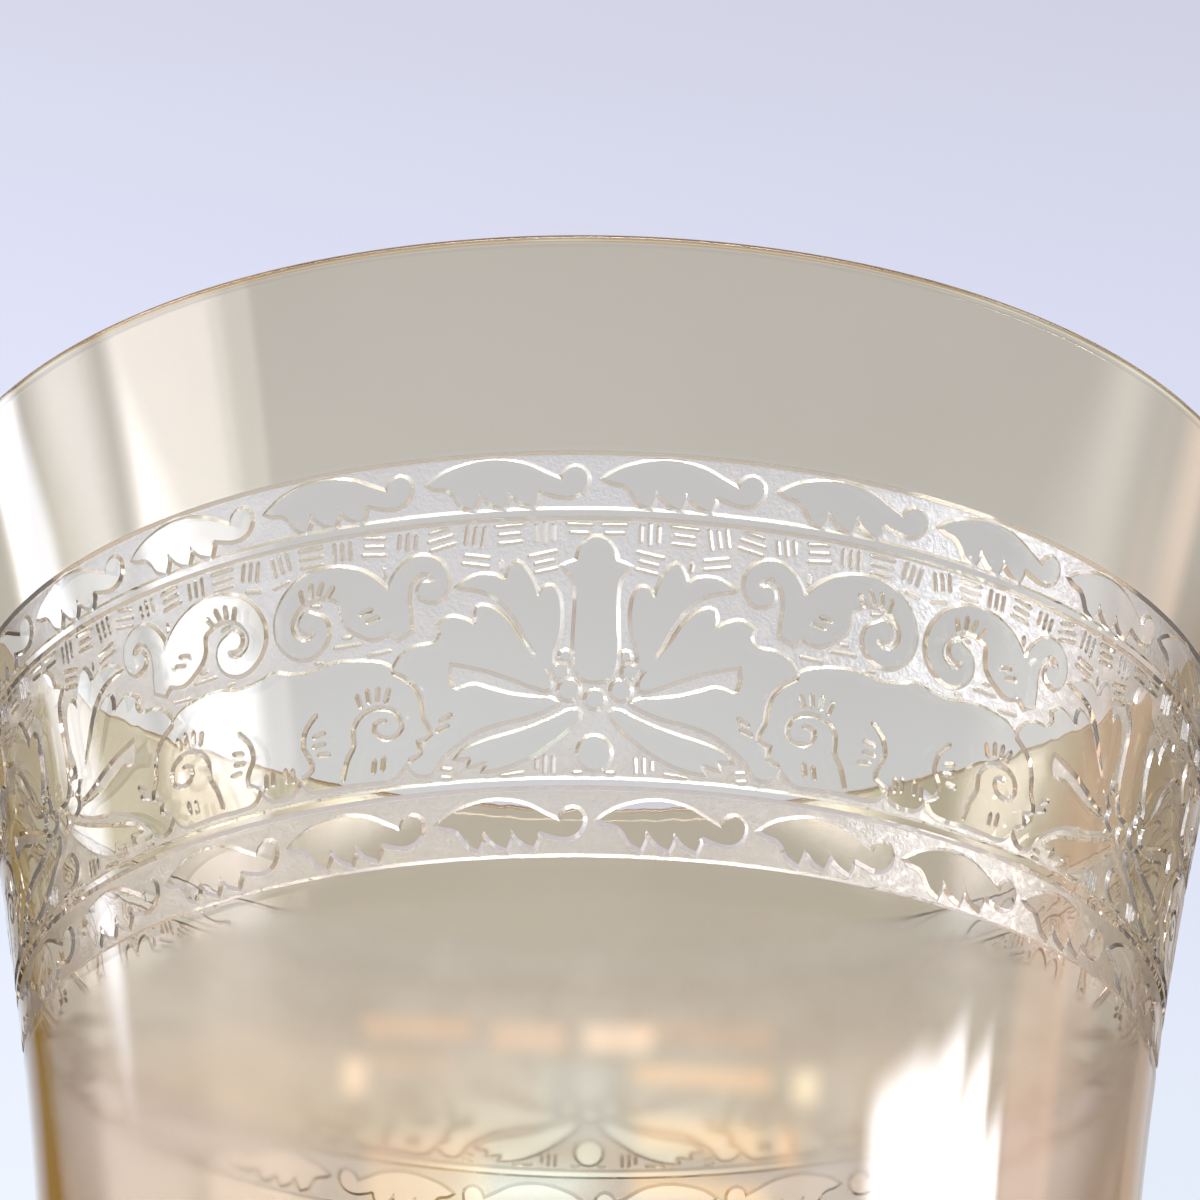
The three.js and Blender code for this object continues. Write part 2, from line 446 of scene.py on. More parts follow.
def makeTurning():
    tree, given, result = newTree(
        "turnOnAxis", "GeometryNodeTree",
        [("Profile", "Geometry"), ("Steps", "Int"), ("Glass", "Material")],
        [("Turned", "Geometry")],
    )
    size = place(tree, "GeometryNodeAttributeDomainSize", {0: given["Profile"]}, component="MESH")
    rows = size.outputs["Point Count"]
    columns = calc(tree, "ADD", given["Steps"], 1)
    grid = place(tree, "GeometryNodeMeshGrid", {"Vertices X": columns, "Vertices Y": rows})
    index = place(tree, "GeometryNodeInputIndex").outputs[0]
    row = calc(tree, "MODULO", index, rows)
    column = calc(tree, "FLOOR", calc(tree, "DIVIDE", calc(tree, "ADD", index, 0.5), rows))
    position = place(tree, "GeometryNodeInputPosition").outputs[0]
    taken = place(
        tree, "GeometryNodeSampleIndex", {"Geometry": given["Profile"], "Index": row},
        data_type="FLOAT_VECTOR", domain="POINT",
    )
    tree.links.new(position, next(s for s in taken.inputs if s.name == "Value" and s.enabled))
    profile = place(tree, "ShaderNodeSeparateXYZ", {0: next(s for s in taken.outputs if s.enabled)})
    angle = calc(tree, "MULTIPLY", calc(tree, "DIVIDE", column, given["Steps"]), math.tau)
    spot = onAxis(tree, profile.outputs[0], angle, profile.outputs[2])
    moved = place(tree, "GeometryNodeSetPosition", {"Geometry": grid.outputs["Mesh"], "Position": spot})
    closed = place(tree, "GeometryNodeMergeByDistance", {"Geometry": moved.outputs[0], "Distance": weldReach})
    solid = place(tree, "GeometryNodeRealizeInstances", {"Geometry": closed.outputs[0]})
    coated = place(tree, "GeometryNodeSetMaterial", {
        "Geometry": solid.outputs[0], "Material": given["Glass"],
    })
    tree.links.new(coated.outputs[0], result["Turned"])
    return tree


def runTree(name, startMesh, tree, values):
    carrier = bpy.data.objects.new(name, startMesh)
    scene.collection.objects.link(carrier)
    nodes = carrier.modifiers.new(tree.name, "NODES")
    nodes.node_group = tree
    for item in tree.interface.items_tree:
        if item.item_type == "SOCKET" and item.in_out == "INPUT" and item.name in values:
            nodes[item.identifier] = values[item.name]
    made = bpy.data.meshes.new_from_object(carrier.evaluated_get(bpy.context.evaluated_depsgraph_get()))
    made.name = name
    bpy.data.objects.remove(carrier)
    return made


turning = makeTurning()


def turn(name, profile, steps, glass):
    line = bpy.data.meshes.new(name + "Profile")
    links = [(i, i + 1) for i in range(len(profile) - 1)]
    line.from_pydata([(radius, 0.0, z) for radius, z in profile], links, [])
    return runTree(name, line, turning, {"Steps": steps, "Glass": glass})


def bezier(controls, steps):
    share = np.linspace(0.0, 1.0, steps + 1)[:, None]
    points = [np.array(c, float)[None, :] for c in controls]
    while len(points) > 1:
        points = [a * (1 - share) + b * share for a, b in zip(points, points[1:])]
    return points[0]


def roundEdge(centreRadius, centreZ, radius, startDegrees, endDegrees, steps):
    angles = np.radians(np.linspace(startDegrees, endDegrees, steps + 1))
    return np.stack([centreRadius + radius * np.cos(angles), centreZ + radius * np.sin(angles)], axis=1)


def finishPiece(name, meshes, glass, body, node, creaseDegrees):
    # one closed mesh from its parts, faces outwards, riding on its body in place of the CAD node
    corners, faces = [], []
    layers = {"etch": [], "inside": []}
    for mesh in meshes:
        start = len(corners)
        corners += [v.co[:] for v in mesh.vertices]
        faces += [[start + i for i in p.vertices] for p in mesh.polygons]
        for key, values in layers.items():
            layer = mesh.attributes.get(key)
            values += [spot.value for spot in layer.data] if layer else [0.0] * len(mesh.vertices)
    whole = bpy.data.meshes.new(name)
    whole.from_pydata(corners, [], faces)
    for key, values in layers.items():
        whole.attributes.new(key, "FLOAT", "POINT").data.foreach_set("value", values)
    work = bmesh.new()
    work.from_mesh(whole)
    bmesh.ops.remove_doubles(work, verts=work.verts, dist=joinReach)
    bmesh.ops.dissolve_degenerate(work, edges=work.edges, dist=sliver)
    bmesh.ops.recalc_face_normals(work, faces=work.faces)
    openEdges = sum(1 for edge in work.edges if len(edge.link_faces) != 2)
    work.to_mesh(whole)
    work.free()
    whole.materials.append(glass)
    whole.shade_smooth()
    whole.set_sharp_from_angle(angle=math.radians(creaseDegrees))
    triangles = sum(len(p.vertices) - 2 for p in whole.polygons)
    piece = bpy.data.objects.new(name, whole)
    scene.collection.objects.link(piece)
    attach(piece, body)
    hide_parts(node)
    print(f"{name}: {triangles} triangles, {openEdges} open edges")


# Bowl: a flared wall over a round cup. The flare is one parabola from the lip to the waist

bowlLow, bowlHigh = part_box("bowl")
bowl = {
    "steps": 240,
    "rimRadius": bowlHigh.x,
    "rimLean": math.radians(16.7),
    "waistRadius": 33.3 * mm,
    "flareHeight": 58.0 * mm,
    "baseRadius": 7.5 * mm,
    "baseRise": 11.0 * mm,
    "rimWall": 0.9 * mm,
    "waistWall": 2.8 * mm,
    "floorThickness": 5.0 * mm,
    "fullness": 0.6,                   # share of the cup's height that stays nearly upright
    "rowHeight": 2.0 * mm,
    "guardRow": 0.12 * mm,             # short row under the lip, so that its rounding shades no further down
    "cupSteps": 30,
    "lipSteps": 14,
    "crease": 19,                      # degrees past which an edge stays sharp
}
rimZ, baseZ = bowlHigh.z, bowlLow.z
lipRadius = bowl["rimWall"] / 2
lipZ = rimZ - lipRadius
waistZ = rimZ - bowl["flareHeight"]
wallHeight = lipZ - waistZ


def flareRadii(lipWallRadius, waistRadius):
    return lipWallRadius, lipWallRadius - math.tan(bowl["rimLean"]) * wallHeight / 2, waistRadius


outerFlare = flareRadii(bowl["rimRadius"], bowl["waistRadius"])
innerFlare = flareRadii(bowl["rimRadius"] - bowl["rimWall"], bowl["waistRadius"] - bowl["waistWall"])


def flareStretch(radii, fromDrop, toDrop, rowHeight):
    # points of a flare between two drops below the rim
    steps = max(1, round((toDrop - fromDrop) / rowHeight))
    drops = np.linspace(fromDrop, toDrop, steps + 1)
    share = (drops - lipRadius) / wallHeight
    radius = radii[0] * (1 - share) ** 2 + 2 * radii[1] * share * (1 - share) + radii[2] * share ** 2
    return np.stack([radius, rimZ - drops], axis=1)


def cupStretch(radii, endControl, end, steps):
    reach = bowl["fullness"] * (waistZ - baseZ) / (wallHeight / 2)
    waist = np.array((radii[2], waistZ))
    bend = np.array((radii[1], lipZ - wallHeight / 2))
    return bezier([waist, waist + (waist - bend) * reach, endControl, end], steps)


# Etched band, drawn flat in millimetres: x along the wall at the unroll radius, y the drop below the rim.
# Each shape is left standing at the height of the wall, and the ground round it is bitten away.

band = {
    "unrollRadius": 38.3,
    "top": 12.8,
    "upperRule": 16.45,
    "lowerRule": 32.3,
    "bottom": 36.7,
    "upperLeaves": 13.25,              # drop of their backs
    "lowerLeaves": 33.3,
    "ruleWidth": 0.34,
    "margin": 0.35,                    # plain wall kept in the band's mesh above and below
    "depth": 0.17,
    "slope": 0.28,
    "lineReach": 0.19,                 # half the width of a fine line
    "lineShare": 0.68,                 # its height or depth as a share of the relief
    "strokeLength": 0.68,
    "leaves": 24,
    "palmettes": 6,
    "columnsRound": 240,
    "meshSpacing": 0.85,
    "outlineSpacing": 0.27,
    "lineSpacing": 0.4,
    "farthest": 1.5,                   # distances past this count as this
    "fillClear": 0.45,                 # plain mesh points keep this far from an outline
    "snap": (0.02, 0.93),              # shares of the depth taken as none and as full
}
bowlTints = [                          # drop below the rim from and to, and the wall's tint there
    (0.0, band["top"] - 0.1, (0.745, 0.69, 0.53)),
    (band["top"] + 0.1, 21.0, (0.79, 0.77, 0.66)),
    (28.0, 31.0, (0.83, 0.815, 0.715)),
    (33.5, 41.0, (0.87, 0.845, 0.835)),
    (47.0, 49.0, (0.93, 0.85, 0.80)),
    (56.0, 100.0, (0.84, 0.785, 0.69)),
]
brownLip = {
    "tint": (0.40, 0.25, 0.13, 1.0),
    "streaks": (0.34, 0.50),           # of a noise, from plain to brown
    "drop": (0.30, 0.20),
}
bowlHaze = {"starts": (band["bottom"] + 0.3, band["bottom"] + 2.0), "ends": (55.0, 49.0)}
groundTint = (0.93, 0.92, 0.89)
leafWidth = math.tau * band["unrollRadius"] / band["leaves"]
halfPalmette = math.pi * band["unrollRadius"] / band["palmettes"]


def makeBowlZones():
    # tint and haze by the drop below the rim: brown lip, warm wall, satin band, handled wall under it
    tree, _, result = newTree(
        "bowlZones", "ShaderNodeTree", [],
        [("Tint", "Color"), ("Haze", "Float")],
    )
    where = objectPlace(tree)
    height = place(tree, "ShaderNodeSeparateXYZ", {0: where}).outputs[2]
    drop = calc(tree, "MULTIPLY_ADD", height, -1 / mm, rimZ / mm)
    deepest = bowlTints[-1][1]
    stops = [(at / deepest, colour) for start, end, colour in bowlTints for at in (start, end)]
    wall = ramp(tree, calc(tree, "DIVIDE", drop, deepest), stops)
    streaks = span(tree, noise(tree, where, 55.0, 1.0), *brownLip["streaks"])
    browned = calc(tree, "MULTIPLY", span(tree, drop, *brownLip["drop"]), streaks)
    feed(tree, result["Tint"], mixColour(tree, browned, wall, brownLip["tint"]))
    starts, ends = span(tree, drop, *bowlHaze["starts"]), span(tree, drop, *bowlHaze["ends"])
    feed(tree, result["Haze"], calc(tree, "MULTIPLY", starts, ends))
    return tree


bowlGlass = makeGlass(
    "etchedBowlGlass", (1.0, 1.0, 0.45), 38.0, 0.00003, zones=makeBowlZones(), groundTint=groundTint,
)


def smoothLine(knots, tips, closed, spacing=band["outlineSpacing"]):
    # curve through given points; a tip stays sharp
    knots = np.array(knots, float)
    count = len(knots)
    line = []

    def way(i, chord):
        if tips[i] or (not closed and i in (0, count - 1)):
            return chord
        through = knots[(i + 1) % count] - knots[i - 1]
        return through / np.linalg.norm(through[:2]) * np.linalg.norm(chord[:2])

    for i in range(count if closed else count - 1):
        start, end = knots[i], knots[(i + 1) % count]
        chord = end - start
        leave, arrive = way(i, chord), way((i + 1) % count, chord)
        steps = max(1, round(float(np.linalg.norm(chord[:2])) / spacing))
        for t in np.arange(steps) / steps:
            line.append(
                start * (2 * t ** 3 - 3 * t ** 2 + 1) + leave * (t ** 3 - 2 * t ** 2 + t)
                + end * (3 * t ** 2 - 2 * t ** 3) + arrive * (t ** 3 - t ** 2)
            )
    if not closed:
        line.append(knots[-1])
    return np.array(line)


def anticlockwise(points):
    x, y = points[:, 0], points[:, 1]
    area = np.sum(x * np.roll(y, -1) - np.roll(x, -1) * y)
    return points if area > 0 else points[::-1]


def outline(points, mirrored=False):
    # closed outline; a third value marks a tip, and mirrored adds the half at negative x
    if mirrored:
        points = points + [(-p[0], *p[1:]) for p in reversed(points) if p[0] > 0]
    return anticlockwise(smoothLine([p[:2] for p in points], [len(p) > 2 for p in points], True))


def bead(x, y, radius):
    count = max(8, round(math.tau * radius / band["outlineSpacing"]))
    angles = np.arange(count) / count * math.tau
    return np.stack([x + radius * np.cos(angles), y + radius * np.sin(angles)], axis=1)


def scroll(path):
    # tapering band along (x, y, width) with a round end
    line = smoothLine(path, [False] * len(path), False)
    ahead = np.gradient(line[:, :2], axis=0)
    ahead /= np.linalg.norm(ahead, axis=1)[:, None]
    side = np.stack([-ahead[:, 1], ahead[:, 0]], axis=1) * line[:, 2:3] / 2
    capAngles = np.radians((30, 60, 90, 120, 150))[:, None]
    cap = line[-1, :2] + np.cos(capAngles) * side[-1] + np.sin(capAngles) * ahead[-1] * line[-1, 2] / 2
    return anticlockwise(np.concatenate([line[:, :2] + side, cap, (line[:, :2] - side)[::-1]]))


def bar(left, right, top, bottom, columns=None):
    # rectangle with enough points along it to follow the round wall
    across = np.linspace(left, right, (columns or max(1, round((right - left) / 0.5))) + 1)
    rows = [np.stack([across, np.full_like(across, y)], axis=1) for y in (top, bottom)]
    return anticlockwise(np.concatenate([rows[0], rows[1][::-1]]))


def spread(points, width):
    # outline moved outwards by width
    before = points - np.roll(points, 1, axis=0)
    after = np.roll(points, -1, axis=0) - points
    normals = []
    for edge in (before, after):
        edge = edge / np.maximum(np.linalg.norm(edge, axis=1), 1e-9)[:, None]
        normals.append(np.stack([edge[:, 1], -edge[:, 0]], axis=1))
    middle = normals[0] + normals[1]
    length = np.maximum(np.linalg.norm(middle, axis=1), 1e-6)[:, None]
    return points + middle / length * width * np.minimum(2 / length, 1.3)   # tips are blunted


def ribbon(path, reach):
    # closed outline at a distance round an open line
    ahead = np.gradient(path, axis=0)
    ahead /= np.linalg.norm(ahead, axis=1)[:, None]
    side = np.stack([-ahead[:, 1], ahead[:, 0]], axis=1) * reach
    ends = [path[-1:] + ahead[-1:] * reach, path[:1] - ahead[:1] * reach]
    return anticlockwise(np.concatenate([path + side, ends[0], (path - side)[::-1], ends[1]]))


def edgeGap(points, start, end):
    # distance from each point to the nearest of some edges
    offset = points[:, None, :] - start
    edge = end - start
    along = np.clip(np.sum(offset * edge, axis=2) / np.maximum(np.sum(edge * edge, axis=1), 1e-12), 0, 1)
    return np.linalg.norm(offset - along[..., None] * edge, axis=2).min(axis=1)


def closeTo(points, shape, reach):
    return np.all((points > shape.min(axis=0) - reach) & (points < shape.max(axis=0) + reach), axis=1)


def clearance(points, shapes):
    # distance from each point to the nearest shape, 0 inside one, and to the nearest outline
    best = np.full(len(points), band["farthest"])
    inside = np.zeros(len(points), bool)
    for shape in shapes:
        start, end = shape, np.roll(shape, -1, axis=0)
        near = closeTo(points, shape, band["farthest"])
        if not near.any():
            continue
        p = points[near][:, None, :]
        best[near] = np.minimum(best[near], edgeGap(points[near], start, end))
        crosses = (start[:, 1] > p[..., 1]) != (end[:, 1] > p[..., 1])
        edge = end - start
        slant = np.where(edge[:, 1] == 0, 1.0, edge[:, 1])
        left = p[..., 0] < start[:, 0] + (p[..., 1] - start[:, 1]) * edge[:, 0] / slant
        inside[near] |= np.sum(crosses & left, axis=1) % 2 == 1
    return np.where(inside, 0.0, best), best


def ridge(points, lines):
    # 1 on a fine line, falling to 0 at its reach
    height = np.zeros(len(points))
    for path in lines:
        near = closeTo(points, path, band["lineReach"])
        if near.any():
            gap = edgeGap(points[near], path[:-1], path[1:])
            height[near] = np.maximum(height[near], 1.0 - gap / band["lineReach"])
    return height


def reliefPlate(name, shapes, width, top, bottom, columns, ridges=(), grooves=()):
    # flat mesh of one strip, with edges along the outlines and along the foot of their slopes
    points, edges = [], []

    def ring(loop):
        first = len(points)
        points.extend(loop)
        edges.extend((first + i, first + (i + 1) % len(loop)) for i in range(len(loop)))

    across = np.linspace(0.0, width, columns + 1)
    down = np.linspace(top, bottom, max(2, round((bottom - top) / band["meshSpacing"])) + 1)
    frameRows = [[(x, top) for x in across], [(width, y) for y in down[1:-1]]]
    frameRows += [[(x, bottom) for x in across[::-1]], [(0.0, y) for y in down[1:-1][::-1]]]
    ring([p for row in frameRows for p in row])
    for shape in shapes:
        ring([tuple(p) for p in shape])
        ring([tuple(p) for p in spread(shape, band["slope"])])
    for path in (*ridges, *grooves):
        first = len(points)
        points.extend(tuple(p) for p in path)
        edges.extend((first + i, first + i + 1) for i in range(len(path) - 1))
        ring([tuple(p) for p in ribbon(path, band["lineReach"])])
    grid = np.stack(np.meshgrid(
        np.arange(0.5 * band["meshSpacing"], width, band["meshSpacing"]),
        np.arange(top + 0.5 * band["meshSpacing"], bottom, band["meshSpacing"]),
    ), axis=-1).reshape(-1, 2)
    apart = clearance(grid, shapes)[1] > band["fillClear"]
    fill = grid[apart & (ridge(grid, (*ridges, *grooves)) == 0)]
    points.extend(tuple(p) for p in fill)
    flat, _, faces, *_ = delaunay_2d_cdt([Vector(p) for p in points], edges, [], 0, 1e-4)
    flat = np.array([tuple(p) for p in flat])
    hold = 1e-3
    kept = []
    for face in faces:
        middle = flat[list(face)].mean(axis=0)
        if hold < middle[0] < width - hold and top + hold < middle[1] < bottom - hold:
            kept.append(face)
    used = sorted({i for face in kept for i in face})
    renumber = {old: new for new, old in enumerate(used)}
    flat = flat[used]
    etch = np.clip(clearance(flat, shapes)[0] / band["slope"], 0.0, 1.0)
    none, full = band["snap"]
    etch = np.where(etch > full, 1.0, np.where(etch < none, 0.0, etch))
    etch = np.minimum(etch, 1.0 - band["lineShare"] * ridge(flat, ridges))
    etch = np.maximum(etch, band["lineShare"] * ridge(flat, grooves))
    plate = bpy.data.meshes.new(name)
    plate.from_pydata(
        [(x * mm, y * mm, -band["depth"] * mm * e) for (x, y), e in zip(flat, etch)], [],
        [[renumber[i] for i in face] for face in kept],
    )
    plate.attributes.new("etch", "FLOAT", "POINT").data.foreach_set("value", etch)
    print(f"  {name}: {len(shapes)} shapes, {len(ridges) + len(grooves)} fine lines, {len(kept)} triangles")
    return plate


def makeWrapping():
    # bends a flat strip round the flare, mirrors it if asked, and sets copies round the axis
    tree, given, result = newTree(
        "wrapOnFlare", "GeometryNodeTree",
        [
            ("Strip", "Geometry"), ("Copies", "Int"), ("Mirror", "Bool"),
            ("Unroll Radius", "Float"), ("Glass", "Material"),
        ],
        [("Wrapped", "Geometry")],
    )
    position = place(tree, "GeometryNodeInputPosition").outputs[0]
    flat = place(tree, "ShaderNodeSeparateXYZ", {0: position}).outputs
    angle = calc(tree, "DIVIDE", flat[0], given["Unroll Radius"])
    share = calc(tree, "DIVIDE", calc(tree, "SUBTRACT", flat[1], lipRadius), wallHeight)
    rest = calc(tree, "SUBTRACT", 1.0, share)
    lip, bend, waist = outerFlare
    upper = calc(tree, "MULTIPLY_ADD", rest, lip, calc(tree, "MULTIPLY", share, bend))
    lower = calc(tree, "MULTIPLY_ADD", rest, bend, calc(tree, "MULTIPLY", share, waist))
    radius = calc(tree, "MULTIPLY_ADD", rest, upper, calc(tree, "MULTIPLY", share, lower))
    lean = calc(tree, "MULTIPLY", calc(tree, "SUBTRACT", lower, upper), 2.0)
    slant = calc(tree, "SQRT", calc(tree, "MULTIPLY_ADD", lean, lean, wallHeight ** 2))
    outward = calc(tree, "DIVIDE", calc(tree, "MULTIPLY", flat[2], wallHeight), slant)
    upward = calc(tree, "DIVIDE", calc(tree, "MULTIPLY", flat[2], lean), slant)
    radius = calc(tree, "ADD", radius, outward)
    height = calc(tree, "ADD", calc(tree, "MULTIPLY_ADD", share, -wallHeight, lipZ), upward)
    spot = onAxis(tree, radius, angle, height)
    bent = place(tree, "GeometryNodeSetPosition", {"Geometry": given["Strip"], "Position": spot})
    twin = place(tree, "GeometryNodeTransform", {"Geometry": bent.outputs[0], "Scale": (-1.0, 1.0, 1.0)})
    twinOut = place(tree, "GeometryNodeFlipFaces", {"Mesh": twin.outputs[0]})
    choose = place(tree, "GeometryNodeSwitch", {
        "Switch": given["Mirror"], "True": twinOut.outputs[0],
    }, input_type="GEOMETRY")
    pair = place(tree, "GeometryNodeJoinGeometry")
    tree.links.new(bent.outputs[0], pair.inputs[0])
    tree.links.new(choose.outputs[0], pair.inputs[0])
    spots = place(tree, "GeometryNodeMeshLine", {"Count": given["Copies"], "Offset": (0.0, 0.0, 0.0)})
    index = place(tree, "GeometryNodeInputIndex").outputs[0]
    step = calc(tree, "DIVIDE", math.tau, given["Copies"])
    around = place(tree, "ShaderNodeCombineXYZ", {2: calc(tree, "MULTIPLY", index, step)})
    copies = place(tree, "GeometryNodeInstanceOnPoints", {
        "Points": spots.outputs[0], "Instance": pair.outputs[0], "Rotation": around.outputs[0],
    })
    solid = place(tree, "GeometryNodeRealizeInstances", {"Geometry": copies.outputs[0]})
    welded = place(tree, "GeometryNodeMergeByDistance", {
        "Geometry": solid.outputs[0], "Distance": weldReach,
    })
    coated = place(tree, "GeometryNodeSetMaterial", {
        "Geometry": welded.outputs[0], "Material": given["Glass"],
    })
    tree.links.new(coated.outputs[0], result["Wrapped"])
    return tree


wrapping = makeWrapping()


def leafShapes(drop):
    # running leaf: a humped back, a curled tip and three teeth below
    leaf = [
        (0.55, 1.15, 1), (1.6, 0.55), (3.2, 0.1), (4.6, 0.0), (6.2, 0.3), (7.6, 0.95), (8.4, 1.3, 1),
        (8.6, 0.8), (9.2, 0.5), (9.75, 0.8), (9.85, 1.35), (9.5, 1.95), (8.8, 2.2), (8.0, 2.1),
        (6.9, 1.75, 1), (7.0, 2.2), (6.75, 2.75, 1), (6.0, 2.45), (5.5, 1.95), (5.2, 1.5, 1),
        (5.3, 2.1), (5.0, 2.8, 1), (4.3, 2.5), (3.75, 1.95), (3.45, 1.45, 1),
        (3.5, 2.1), (3.2, 2.8, 1), (2.5, 2.45), (2.1, 1.85), (1.6, 1.45), (1.0, 1.35),
    ]
    return [outline([(0.97 * p[0] - 0.15, drop + p[1], *p[2:]) for p in leaf])]


def palmetteShapes():
    # right half of one palmette with its beads
    centrePetal = [
        (0.0, 26.3), (0.75, 26.15), (1.15, 25.5), (1.25, 24.2), (1.2, 22.8), (1.15, 21.4), (1.3, 20.3),
        (1.9, 19.55, 1), (1.1, 19.25, 1), (0.95, 18.6), (0.55, 18.1), (0.0, 17.9),
    ]
    upperPetal = [
        (2.75, 25.6), (2.55, 24.6), (2.2, 23.6), (2.1, 22.4), (2.2, 21.4), (2.55, 20.8), (3.0, 20.85),
        (3.4, 21.55, 1), (3.65, 20.6), (4.15, 19.7), (4.6, 19.3), (5.0, 19.75), (5.25, 20.5, 1), (5.9, 20.05),
        (6.9, 19.95), (8.1, 20.5, 1), (6.9, 20.75), (5.9, 21.2), (5.0, 22.1), (4.3, 23.2), (3.6, 24.5),
    ]
    # side and low petals run out into one plain field that reaches the mirror line
    plainField = [
        (2.75, 26.15), (3.6, 25.05), (4.5, 23.85), (5.2, 22.75), (6.1, 21.95), (6.9, 21.85), (6.95, 23.0, 1),
        (7.8, 22.5), (8.6, 22.3), (9.3, 22.7, 1), (9.15, 23.25), (9.6, 23.75), (10.7, 23.85), (11.6, 24.25),
        (12.2, 25.05, 1), (12.9, 24.6), (14.2, 24.3), (16.0, 24.2), (17.6, 24.45), (19.0, 24.3),
        (20.05, 24.0), (21.4, 24.3, 1), (21.4, 31.4, 1), (20.05, 31.45), (19.2, 31.3), (18.6, 30.6, 1),
        (18.0, 31.3), (16.9, 31.45), (15.4, 31.4), (13.9, 31.45), (12.4, 31.4), (11.5, 30.6, 1),
        (10.9, 31.3), (10.0, 31.35), (9.3, 30.5, 1), (8.7, 30.0), (7.2, 29.1), (5.7, 28.65), (4.1, 28.35),
        (2.9, 27.95), (2.2, 27.6, 1), (2.75, 27.35), (3.6, 27.3), (5.0, 27.1), (6.3, 26.7), (7.3, 26.4),
        (8.5, 26.7, 1), (8.8, 25.8), (8.7, 24.9, 1), (7.5, 25.2), (6.3, 25.55), (5.0, 26.05), (3.6, 26.6),
        (2.7, 26.75),
    ]
    footPetal = [
        (0.95, 28.2), (1.4, 28.05), (2.2, 28.4), (3.6, 28.95), (5.1, 29.4), (6.6, 29.75), (7.7, 30.1),
        (8.4, 30.6, 1), (7.3, 30.55, 1), (7.6, 31.1, 1), (6.4, 30.95), (6.7, 31.45, 1), (5.6, 31.3),
        (4.5, 30.95), (3.3, 30.35), (2.2, 29.55), (1.3, 28.8),
    ]
    shapes = [outline(centrePetal, mirrored=True)]
    shapes += [outline(petal) for petal in (upperPetal, plainField, footPetal)]
    shapes += [bead(0.0, 27.4, 0.52), bead(1.55, 26.85, 0.55), bead(2.05, 25.75, 0.4), bead(1.8, 24.85, 0.26)]
    shapes.append(bead(0.0, 30.55, 0.95))
    return shapes


def scrollShapes():
    # curling leaves between two palmettes, up to the mirror line
    crozier = [
        (11.4, 23.0, 0.9), (11.75, 22.2, 1.5), (11.75, 21.0, 1.3), (11.35, 19.75, 1.1), (10.35, 19.0, 0.95),
        (9.35, 19.35, 0.85), (9.05, 20.25, 0.75), (9.5, 20.95, 0.6), (10.1, 20.75, 0.55),
    ]
    curlingLeaf = [
        (12.2, 22.7, 0.7), (12.9, 21.3, 1.9), (14.3, 19.95, 2.1), (16.2, 19.25, 1.6), (18.0, 19.65, 1.3),
        (19.05, 20.9, 1.1), (18.95, 22.2, 1.0), (17.85, 23.0, 0.95), (16.8, 22.6, 0.85), (16.65, 21.7, 0.75),
        (17.4, 21.2, 0.6),
    ]
    innerLeaf = [
        (12.4, 22.5), (13.3, 21.9), (14.3, 21.5), (15.3, 20.6, 1), (15.1, 21.8), (14.2, 22.6), (13.2, 23.0),
    ]
    shapes = [scroll(crozier), scroll(curlingLeaf), outline(innerLeaf)]
    shapes += [bead(9.95, 20.6, 0.5), bead(17.45, 21.4, 0.55)]
    return shapes


def fieldLines():
    # fine lines bitten into the plain shapes: a curl on its stalk, the edges of two leaves and short strokes
    curl = [
        (15.7, 31.1), (15.35, 30.0), (14.85, 29.1), (14.85, 28.15), (14.2, 27.4), (12.95, 27.2),
        (11.95, 27.7), (11.75, 28.5), (12.4, 29.05), (13.3, 28.8), (13.45, 28.1), (12.8, 27.95),
    ]
    frill = [
        (12.15, 25.2), (11.3, 25.75), (10.7, 26.4), (10.45, 27.1), (10.35, 28.05, 1), (9.95, 29.1),
        (10.75, 29.45, 1), (10.6, 30.1), (11.3, 30.5),
    ]
    leafEdge = [(17.3, 27.0), (18.0, 27.7), (18.25, 28.7), (17.8, 29.6), (17.75, 30.2), (18.45, 30.6)]
    lines = []
    for path in (curl, frill, leafEdge):
        tips = [len(p) == 3 for p in path]
        lines.append(smoothLine([p[:2] for p in path], tips, False, spacing=band["lineSpacing"]))
    strokes = [                        # middle and slant in degrees
        (12.6, 26.5, 70), (13.2, 26.35, 82), (13.8, 26.4, 96), (14.4, 26.6, 108), (17.15, 28.2, 12),
        (17.2, 28.8, 4), (16.9, 29.4, -6), (19.6, 30.2, 92), (19.1, 30.3, 92), (15.9, 19.9, 52),
        (16.5, 19.6, 66), (17.1, 19.6, 84), (17.7, 19.85, 104), (13.3, 21.9, 12), (13.7, 21.4, 12),
        (13.0, 30.5, 80), (13.6, 30.6, 80), (9.0, 28.2, 30), (9.2, 28.8, 20),
    ]
    for x, y, degrees in strokes:
        slant = math.radians(degrees)
        half = band["strokeLength"] / 2 * np.array((math.cos(slant), math.sin(slant)))
        lines.append(np.array([(x, y) - half, (x, y), (x, y) + half]))
    return lines


weave = {
    "cellWidth": 2.0,
    "cellHeight": 1.7,
    "length": 1.5,
    "spacing": 0.5,
    "clear": 0.36,                     # ground kept between a line and the shapes
    "tilt": 12.0,                      # most that a cell is turned off square, in degrees
    "lengthRange": (0.75, 1.1),
    "cuts": (1.0, 0.65, 0.35),         # shares of its length that are tried near a shape
    "sideMargin": 0.25,
    "ruleGap": 0.3,
    "seed": 11,
}


